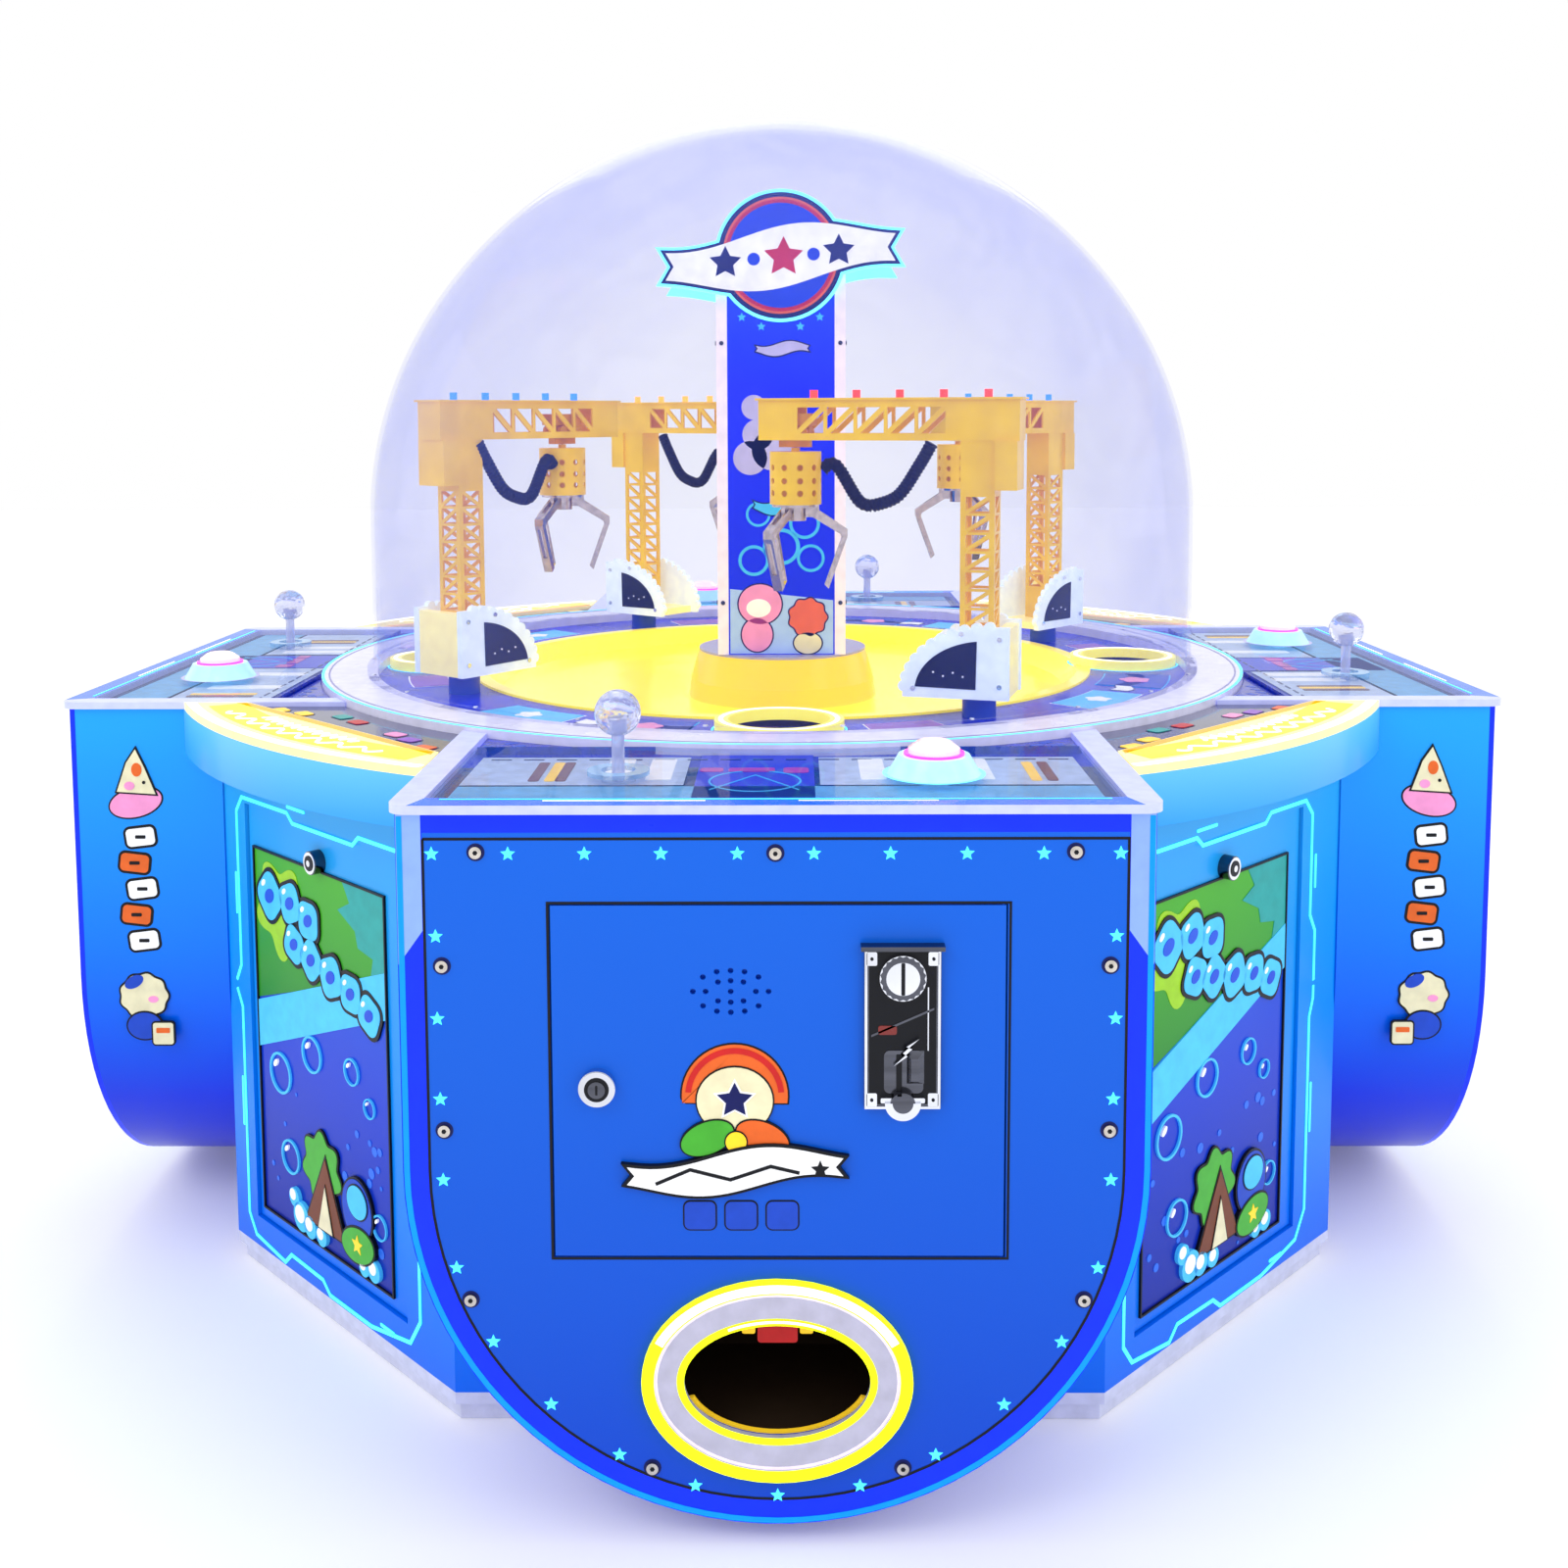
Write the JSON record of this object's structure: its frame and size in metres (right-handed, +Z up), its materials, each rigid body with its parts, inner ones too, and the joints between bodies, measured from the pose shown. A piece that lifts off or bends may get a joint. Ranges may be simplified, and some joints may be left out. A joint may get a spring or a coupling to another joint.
{
  "type": "dome crane prize machine",
  "caption": "Free-standing dome prize machine with toy tower cranes, claws, joysticks, buttons, coin doors and prize outlets on every side.",
  "frame": {"origin": "centre of the plinth's footprint on the floor", "axes": "+Z up, -Y out of the front player's side"},
  "size_m": [1.678, 1.678, 1.381],
  "materials": {
    "cabinet_blue": "painted board",
    "plinth_white": "painted board",
    "drum_blue": "gloss powder coat",
    "front_blue": "gloss powder coat",
    "bolt_steel": "zinc plated",
    "outlet_light": "lit acrylic",
    "chute_light": "lit acrylic",
    "deck_graphic": "printed panel",
    "canopy_light": "lit acrylic",
    "ring_lilac": "frosted acrylic",
    "dome_clear": "clear acrylic",
    "bowl_yellow": "moulded gloss",
    "pedestal_yellow": "moulded gloss",
    "column_blue": "printed panel",
    "sign_blue": "printed acrylic",
    "control_glass": "tempered glass",
    "crane_yellow": "moulded gloss",
    "trolley_yellow": "moulded",
    "claw_yellow": "moulded gloss",
    "claw_steel": "plated steel",
    "gimbal_grey": "moulded",
    "knob_clear": "clear acrylic",
    "button_clear": "clear cap",
    "coin_door_blue": "gloss powder coat",
    "side_door_blue": "printed board"
  },
  "bodies": {
    "root": {"cabinet_shell": "cabinet_blue", "plinth": "plinth_white", "station_housings": "drum_blue", "station_fronts": "front_blue", "fasteners": "bolt_steel", "prize_outlets": "outlet_light", "prize_chutes": "chute_light", "deck": "deck_graphic", "canopies": "canopy_light", "dome_ring": "ring_lilac", "dome": "dome_clear", "prize_bowl": "bowl_yellow", "pedestal": "pedestal_yellow", "center_column": "column_blue", "signs": "sign_blue", "control_panels": "control_glass"},
    "crane_mast_front": {"crane_mast_front": "crane_yellow"},
    "trolley_front": {"trolley_front": "trolley_yellow"},
    "claw_head_front": {"claw_head_front": "claw_yellow"},
    "claw_finger_front_1": {"claw_finger_front_1": "claw_steel"},
    "claw_finger_front_2": {"claw_finger_front_2": "claw_steel"},
    "claw_finger_front_3": {"claw_finger_front_3": "claw_steel"},
    "gimbal_front": {"gimbal_front": "gimbal_grey"},
    "joystick_front": {"joystick_front": "knob_clear"},
    "button_front": {"button_front": "button_clear"},
    "coin_door_front": {"coin_door_front": "coin_door_blue"},
    "side_door_front_left": {"side_door_front_left": "side_door_blue"},
    "crane_mast_left": {"crane_mast_left": "crane_yellow"},
    "trolley_left": {"trolley_left": "trolley_yellow"},
    "claw_head_left": {"claw_head_left": "claw_yellow"},
    "claw_finger_left_1": {"claw_finger_left_1": "claw_steel"},
    "claw_finger_left_2": {"claw_finger_left_2": "claw_steel"},
    "claw_finger_left_3": {"claw_finger_left_3": "claw_steel"},
    "gimbal_left": {"gimbal_left": "gimbal_grey"},
    "joystick_left": {"joystick_left": "knob_clear"},
    "button_left": {"button_left": "button_clear"},
    "coin_door_left": {"coin_door_left": "coin_door_blue"},
    "side_door_back_left": {"side_door_back_left": "side_door_blue"},
    "crane_mast_back": {"crane_mast_back": "crane_yellow"},
    "trolley_back": {"trolley_back": "trolley_yellow"},
    "claw_head_back": {"claw_head_back": "claw_yellow"},
    "claw_finger_back_1": {"claw_finger_back_1": "claw_steel"},
    "claw_finger_back_2": {"claw_finger_back_2": "claw_steel"},
    "claw_finger_back_3": {"claw_finger_back_3": "claw_steel"},
    "gimbal_back": {"gimbal_back": "gimbal_grey"},
    "joystick_back": {"joystick_back": "knob_clear"},
    "button_back": {"button_back": "button_clear"},
    "coin_door_back": {"coin_door_back": "coin_door_blue"},
    "side_door_back_right": {"side_door_back_right": "side_door_blue"},
    "crane_mast_right": {"crane_mast_right": "crane_yellow"},
    "trolley_right": {"trolley_right": "trolley_yellow"},
    "claw_head_right": {"claw_head_right": "claw_yellow"},
    "claw_finger_right_1": {"claw_finger_right_1": "claw_steel"},
    "claw_finger_right_2": {"claw_finger_right_2": "claw_steel"},
    "claw_finger_right_3": {"claw_finger_right_3": "claw_steel"},
    "gimbal_right": {"gimbal_right": "gimbal_grey"},
    "joystick_right": {"joystick_right": "knob_clear"},
    "button_right": {"button_right": "button_clear"},
    "coin_door_right": {"coin_door_right": "coin_door_blue"},
    "side_door_front_right": {"side_door_front_right": "side_door_blue"}
  },
  "joints": [
    {"name": "slew_front", "type": "hinge", "parent": "root", "child": "crane_mast_front", "pos_m": [0.223, -0.38625, 0.7], "axis": [0, 0, 1], "range_deg": [-63, 32]},
    {"name": "trolley_run_front", "type": "slide", "parent": "crane_mast_front", "child": "trolley_front", "axis": [-0.9563, 0.2924, 0], "range_m": [-0.074, 0.012]},
    {"name": "hoist_front", "type": "slide", "parent": "trolley_front", "child": "claw_head_front", "axis": [0, 0, -1], "range_m": [0, 0.145]},
    {"name": "finger_front_1", "type": "hinge", "parent": "claw_head_front", "child": "claw_finger_front_1", "pos_m": [0.04034, -0.32445, 0.889], "axis": [0.0349, 0.9994, 0], "range_deg": [-25, 17]},
    {"name": "finger_front_2", "type": "hinge", "parent": "claw_head_front", "child": "claw_finger_front_2", "pos_m": [0.00802, -0.30425, 0.889], "axis": [-0.8829, -0.4695, 0], "range_deg": [-25, 17]},
    {"name": "finger_front_3", "type": "hinge", "parent": "claw_head_front", "child": "claw_finger_front_3", "pos_m": [0.00669, -0.34234, 0.889], "axis": [0.848, -0.5299, 0], "range_deg": [-25, 17]},
    {"name": "stick_pitch_front", "type": "hinge", "parent": "root", "child": "gimbal_front", "pos_m": [-0.146, -0.712, 0.646], "axis": [1, 0, 0], "range_deg": [-11, 11], "stiffness_Nm_per_rad": 0.6},
    {"name": "stick_roll_front", "type": "hinge", "parent": "gimbal_front", "child": "joystick_front", "pos_m": [-0.146, -0.712, 0.646], "axis": [0, 1, 0], "range_deg": [-11, 11], "stiffness_Nm_per_rad": 0.6},
    {"name": "button_press_front", "type": "slide", "parent": "root", "child": "button_front", "axis": [0, 0, -1], "range_m": [0, 0.004], "stiffness_N_per_m": 300, "springref_m": -0.004},
    {"name": "coin_door_hinge_front", "type": "hinge", "parent": "root", "child": "coin_door_front", "pos_m": [0.196, -0.822, 0.425], "axis": [0, 0, 1], "range_deg": [0, 100]},
    {"name": "side_door_hinge_front_left", "type": "hinge", "parent": "root", "child": "side_door_front_left", "pos_m": [-0.49391, -0.46917, 0.073], "axis": [0.7071, -0.7071, 0], "range_deg": [0, 90]},
    {"name": "slew_left", "type": "hinge", "parent": "root", "child": "crane_mast_left", "pos_m": [-0.38625, -0.223, 0.7], "axis": [0, 0, 1], "range_deg": [-42, 53]},
    {"name": "trolley_run_left", "type": "slide", "parent": "crane_mast_left", "child": "trolley_left", "axis": [0.6157, 0.788, 0], "range_m": [-0.03, 0.056]},
    {"name": "hoist_left", "type": "slide", "parent": "trolley_left", "child": "claw_head_left", "axis": [0, 0, -1], "range_m": [0, 0.145]},
    {"name": "finger_left_1", "type": "hinge", "parent": "claw_head_left", "child": "claw_finger_left_1", "pos_m": [-0.29018, -0.10929, 0.889], "axis": [0.9205, -0.3907, 0], "range_deg": [-25, 17]},
    {"name": "finger_left_2", "type": "hinge", "parent": "claw_head_left", "child": "claw_finger_left_2", "pos_m": [-0.25975, -0.08636, 0.889], "axis": [-0.1219, 0.9925, 0], "range_deg": [-25, 17]},
    {"name": "finger_left_3", "type": "hinge", "parent": "claw_head_left", "child": "claw_finger_left_3", "pos_m": [-0.29482, -0.07147, 0.889], "axis": [-0.7986, -0.6018, 0], "range_deg": [-25, 17]},
    {"name": "stick_pitch_left", "type": "hinge", "parent": "root", "child": "gimbal_left", "pos_m": [-0.712, 0.146, 0.646], "axis": [0, -1, 0], "range_deg": [-11, 11], "stiffness_Nm_per_rad": 0.6},
    {"name": "stick_roll_left", "type": "hinge", "parent": "gimbal_left", "child": "joystick_left", "pos_m": [-0.712, 0.146, 0.646], "axis": [1, 0, 0], "range_deg": [-11, 11], "stiffness_Nm_per_rad": 0.6},
    {"name": "button_press_left", "type": "slide", "parent": "root", "child": "button_left", "axis": [0, 0, -1], "range_m": [0, 0.004], "stiffness_N_per_m": 300, "springref_m": -0.004},
    {"name": "coin_door_hinge_left", "type": "hinge", "parent": "root", "child": "coin_door_left", "pos_m": [-0.822, -0.196, 0.425], "axis": [0, 0, 1], "range_deg": [0, 100]},
    {"name": "side_door_hinge_back_left", "type": "hinge", "parent": "root", "child": "side_door_back_left", "pos_m": [-0.46917, 0.49391, 0.073], "axis": [-0.7071, -0.7071, 0], "range_deg": [0, 90]},
    {"name": "slew_back", "type": "hinge", "parent": "root", "child": "crane_mast_back", "pos_m": [-0.223, 0.38625, 0.7], "axis": [0, 0, 1], "range_deg": [-42, 53]},
    {"name": "trolley_run_back", "type": "slide", "parent": "crane_mast_back", "child": "trolley_back", "axis": [0.788, -0.6157, 0], "range_m": [-0.074, 0.012]},
    {"name": "hoist_back", "type": "slide", "parent": "trolley_back", "child": "claw_head_back", "axis": [0, 0, -1], "range_m": [0, 0.145]},
    {"name": "finger_back_1", "type": "hinge", "parent": "claw_head_back", "child": "claw_finger_back_1", "pos_m": [-0.07462, 0.26309, 0.889], "axis": [-0.3907, -0.9205, 0], "range_deg": [-25, 17]},
    {"name": "finger_back_2", "type": "hinge", "parent": "claw_head_back", "child": "claw_finger_back_2", "pos_m": [-0.05168, 0.23266, 0.889], "axis": [0.9925, 0.1219, 0], "range_deg": [-25, 17]},
    {"name": "finger_back_3", "type": "hinge", "parent": "claw_head_back", "child": "claw_finger_back_3", "pos_m": [-0.0368, 0.26774, 0.889], "axis": [-0.6018, 0.7986, 0], "range_deg": [-25, 17]},
    {"name": "stick_pitch_back", "type": "hinge", "parent": "root", "child": "gimbal_back", "pos_m": [0.146, 0.712, 0.646], "axis": [-1, 0, 0], "range_deg": [-11, 11], "stiffness_Nm_per_rad": 0.6},
    {"name": "stick_roll_back", "type": "hinge", "parent": "gimbal_back", "child": "joystick_back", "pos_m": [0.146, 0.712, 0.646], "axis": [0, -1, 0], "range_deg": [-11, 11], "stiffness_Nm_per_rad": 0.6},
    {"name": "button_press_back", "type": "slide", "parent": "root", "child": "button_back", "axis": [0, 0, -1], "range_m": [0, 0.004], "stiffness_N_per_m": 300, "springref_m": -0.004},
    {"name": "coin_door_hinge_back", "type": "hinge", "parent": "root", "child": "coin_door_back", "pos_m": [-0.196, 0.822, 0.425], "axis": [0, 0, 1], "range_deg": [0, 100]},
    {"name": "side_door_hinge_back_right", "type": "hinge", "parent": "root", "child": "side_door_back_right", "pos_m": [0.49391, 0.46917, 0.073], "axis": [-0.7071, 0.7071, 0], "range_deg": [0, 90]},
    {"name": "slew_right", "type": "hinge", "parent": "root", "child": "crane_mast_right", "pos_m": [0.38625, 0.223, 0.7], "axis": [0, 0, 1], "range_deg": [-38, 57]},
    {"name": "trolley_run_right", "type": "slide", "parent": "crane_mast_right", "child": "trolley_right", "axis": [-0.6691, -0.7431, 0], "range_m": [-0.074, 0.012]},
    {"name": "hoist_right", "type": "slide", "parent": "trolley_right", "child": "claw_head_right", "axis": [0, 0, -1], "range_m": [0, 0.145]},
    {"name": "finger_right_1", "type": "hinge", "parent": "claw_head_right", "child": "claw_finger_right_1", "pos_m": [0.25304, 0.08357, 0.889], "axis": [-0.891, 0.454, 0], "range_deg": [-25, 17]},
    {"name": "finger_right_2", "type": "hinge", "parent": "claw_head_right", "child": "claw_finger_right_2", "pos_m": [0.22108, 0.06282, 0.889], "axis": [0.0523, -0.9986, 0], "range_deg": [-25, 17]},
    {"name": "finger_right_3", "type": "hinge", "parent": "claw_head_right", "child": "claw_finger_right_3", "pos_m": [0.25504, 0.04552, 0.889], "axis": [0.8387, 0.5446, 0], "range_deg": [-25, 17]},
    {"name": "stick_pitch_right", "type": "hinge", "parent": "root", "child": "gimbal_right", "pos_m": [0.712, -0.146, 0.646], "axis": [0, 1, 0], "range_deg": [-11, 11], "stiffness_Nm_per_rad": 0.6},
    {"name": "stick_roll_right", "type": "hinge", "parent": "gimbal_right", "child": "joystick_right", "pos_m": [0.712, -0.146, 0.646], "axis": [-1, 0, 0], "range_deg": [-11, 11], "stiffness_Nm_per_rad": 0.6},
    {"name": "button_press_right", "type": "slide", "parent": "root", "child": "button_right", "axis": [0, 0, -1], "range_m": [0, 0.004], "stiffness_N_per_m": 300, "springref_m": -0.004},
    {"name": "coin_door_hinge_right", "type": "hinge", "parent": "root", "child": "coin_door_right", "pos_m": [0.822, 0.196, 0.425], "axis": [0, 0, 1], "range_deg": [0, 100]},
    {"name": "side_door_hinge_front_right", "type": "hinge", "parent": "root", "child": "side_door_front_right", "pos_m": [0.46917, -0.49391, 0.073], "axis": [0.7071, 0.7071, 0], "range_deg": [0, 90]}
  ],
  "couplings": [
    {"joint": "finger_front_2", "follows": "finger_front_1", "ratio": 1},
    {"joint": "finger_front_3", "follows": "finger_front_1", "ratio": 1},
    {"joint": "finger_left_2", "follows": "finger_left_1", "ratio": 1},
    {"joint": "finger_left_3", "follows": "finger_left_1", "ratio": 1},
    {"joint": "finger_back_2", "follows": "finger_back_1", "ratio": 1},
    {"joint": "finger_back_3", "follows": "finger_back_1", "ratio": 1},
    {"joint": "finger_right_2", "follows": "finger_right_1", "ratio": 1},
    {"joint": "finger_right_3", "follows": "finger_right_1", "ratio": 1}
  ]
}
